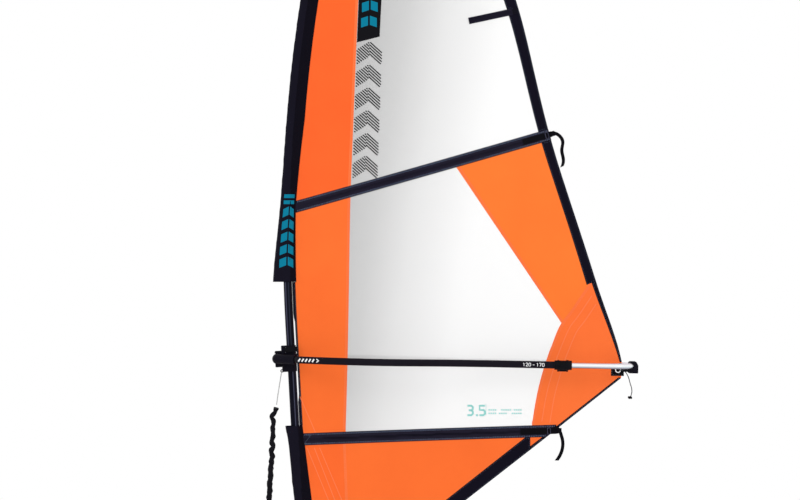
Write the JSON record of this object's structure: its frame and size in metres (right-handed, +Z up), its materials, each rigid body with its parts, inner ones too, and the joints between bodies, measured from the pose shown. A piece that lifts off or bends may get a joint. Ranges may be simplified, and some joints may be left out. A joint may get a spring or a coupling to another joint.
{
  "type": "windsurf sail rig",
  "caption": "Windsurf rig: sleeve sail with battens on a bent two-piece mast, adjustable wishbone boom and a swivelling mast base.",
  "frame": {"origin": "centre of the mast base's underside, where its stud enters the board", "axes": "+Z up from the board, +X aft from the mast to the clew, +Y across the sail to starboard"},
  "size_m": [1.5945, 0.3892, 3.8865],
  "materials": {
    "mast_carbon": "semi-gloss carbon laminate",
    "sleeve_cloth": "woven navy-black sleeve cloth",
    "orange_cloth": "laminated orange sailcloth",
    "window_film": "clear monofilm",
    "black_band": "black binding tape",
    "batten_rod": "fibreglass batten",
    "black_plastic": "moulded nylon",
    "webbing": "woven webbing",
    "grip_foam": "textured grip",
    "aluminium": "satin anodised",
    "black_aluminium": "black anodised",
    "steel": "polished stainless steel",
    "rubber": "soft rubber",
    "line_grey": "braided line",
    "rope_black": "elastic rope in a crinkled cover"
  },
  "bodies": {
    "rig": {"mast_lower": "mast_carbon", "mast_upper": "mast_carbon", "mast_ferrule": "mast_carbon", "mast_head_cap": "black_plastic", "mast_collar": "black_plastic", "sleeve_upper": "sleeve_cloth", "sleeve_lower": "sleeve_cloth", "edge_tapes": "black_band", "leech_band": "black_band", "foot_band": "black_band", "luff_panel_top": "orange_cloth", "luff_panel_middle": "orange_cloth", "head_panel": "orange_cloth", "leech_panel": "orange_cloth", "clew_panel": "orange_cloth", "foot_panel_front": "orange_cloth", "foot_panel_aft": "orange_cloth", "window_upper": "window_film", "window_lower": "window_film", "batten_pocket_1": "black_band", "batten_pocket_2": "black_band", "batten_pocket_3": "black_band", "battens": "batten_rod", "batten_caps": "black_plastic", "batten_straps": "webbing", "tack_webbing": "webbing", "clew_webbing": "webbing", "clew_ring": "steel", "tack_block": "steel"},
    "tack_wheels": {"tack_sheaves": "black_plastic"},
    "boom_head": {"clamp_body": "black_plastic", "clamp_liner": "rubber", "clamp_jaw": "black_plastic", "clamp_pins": "steel", "uphaul_line": "line_grey"},
    "head_lever": {"clamp_lever": "black_plastic"},
    "boom": {"boom_yoke": "black_plastic", "boom_arms": "black_aluminium", "boom_grips": "grip_foam", "boom_collars": "black_plastic"},
    "starboard_clip": {"clip_starboard": "black_plastic"},
    "port_clip": {"clip_port": "black_plastic"},
    "tail": {"boom_tail": "aluminium", "tail_fitting": "black_plastic", "outhaul_cleat": "black_plastic", "outhaul_line": "line_grey", "outhaul_tail": "line_grey"},
    "starboard_wheel": {"outhaul_sheave_starboard": "black_plastic"},
    "port_wheel": {"outhaul_sheave_port": "black_plastic"},
    "extension": {"extension_tube": "aluminium", "extension_cup": "black_plastic", "joint_upper_yoke": "steel", "uphaul_rope": "rope_black"},
    "downhaul_wheels": {"downhaul_sheaves": "black_plastic"},
    "cross": {"joint_cross": "steel"},
    "fork": {"joint_lower_yoke": "steel"},
    "base": {"deck_pad": "rubber", "base_plate": "black_plastic", "swivel_cap": "black_plastic", "deck_stud": "steel"}
  },
  "joints": [
    {"name": "boom_height", "type": "slide", "parent": "rig", "child": "boom_head", "axis": [-0.0552, 0, 0.9985], "range_m": [-0.1, 0.1], "deforming": ["uphaul_line"]},
    {"name": "boom_tilt", "type": "hinge", "parent": "boom_head", "child": "boom", "pos_m": [-0.125, 0, 1.2743], "axis": [0, 1, 0], "range_deg": [-4, 4]},
    {"name": "clamp_lever_swing", "type": "hinge", "parent": "boom_head", "child": "head_lever", "pos_m": [-0.08922, -0.0325, 1.31313], "axis": [0.0552, 0, -0.9985], "range_deg": [0, 140]},
    {"name": "boom_length", "type": "slide", "parent": "boom", "child": "tail", "axis": [0.9998, 0, -0.0205], "range_m": [0, 0.2], "deforming": ["outhaul_line"]},
    {"name": "starboard_clip_swing", "type": "hinge", "parent": "boom", "child": "starboard_clip", "pos_m": [1.09326, 0.086, 1.22576], "axis": [-0.9998, 0, 0.0205], "range_deg": [0, 100]},
    {"name": "port_clip_swing", "type": "hinge", "parent": "boom", "child": "port_clip", "pos_m": [1.09326, -0.086, 1.22576], "axis": [0.9998, 0, -0.0205], "range_deg": [0, 100]},
    {"name": "outhaul_wheel_starboard", "type": "hinge", "parent": "tail", "child": "starboard_wheel", "pos_m": [1.39327, 0.015, 1.2231], "axis": [0.0205, 0, 0.9998], "continuous": true},
    {"name": "outhaul_wheel_port", "type": "hinge", "parent": "tail", "child": "port_wheel", "pos_m": [1.39327, -0.015, 1.2231], "axis": [0.0205, 0, 0.9998], "continuous": true},
    {"name": "tack_wheel_spin", "type": "hinge", "parent": "rig", "child": "tack_wheels", "pos_m": [0.046, 0, 0.15], "axis": [0, 1, 0], "continuous": true},
    {"name": "extension_length", "type": "slide", "parent": "rig", "child": "extension", "axis": [0.0552, 0, -0.9985], "range_m": [0, 0.2], "deforming": ["uphaul_rope"]},
    {"name": "downhaul_wheel_spin", "type": "hinge", "parent": "extension", "child": "downhaul_wheels", "pos_m": [0.047, 0, 0.112], "axis": [0, 1, 0], "continuous": true},
    {"name": "base_fore_aft", "type": "hinge", "parent": "extension", "child": "cross", "pos_m": [0, 0, 0.062], "axis": [0, 1, 0], "range_deg": [-45, 45]},
    {"name": "base_side_to_side", "type": "hinge", "parent": "cross", "child": "fork", "pos_m": [0, 0, 0.062], "axis": [1, 0, 0], "range_deg": [-45, 45]},
    {"name": "base_swivel", "type": "hinge", "parent": "fork", "child": "base", "pos_m": [0, 0, 0.01], "axis": [0, 0, 1], "continuous": true}
  ],
  "couplings": [
    {"joint": "boom_tilt", "follows": "boom_height", "rad_per_m": 0.685}
  ]
}
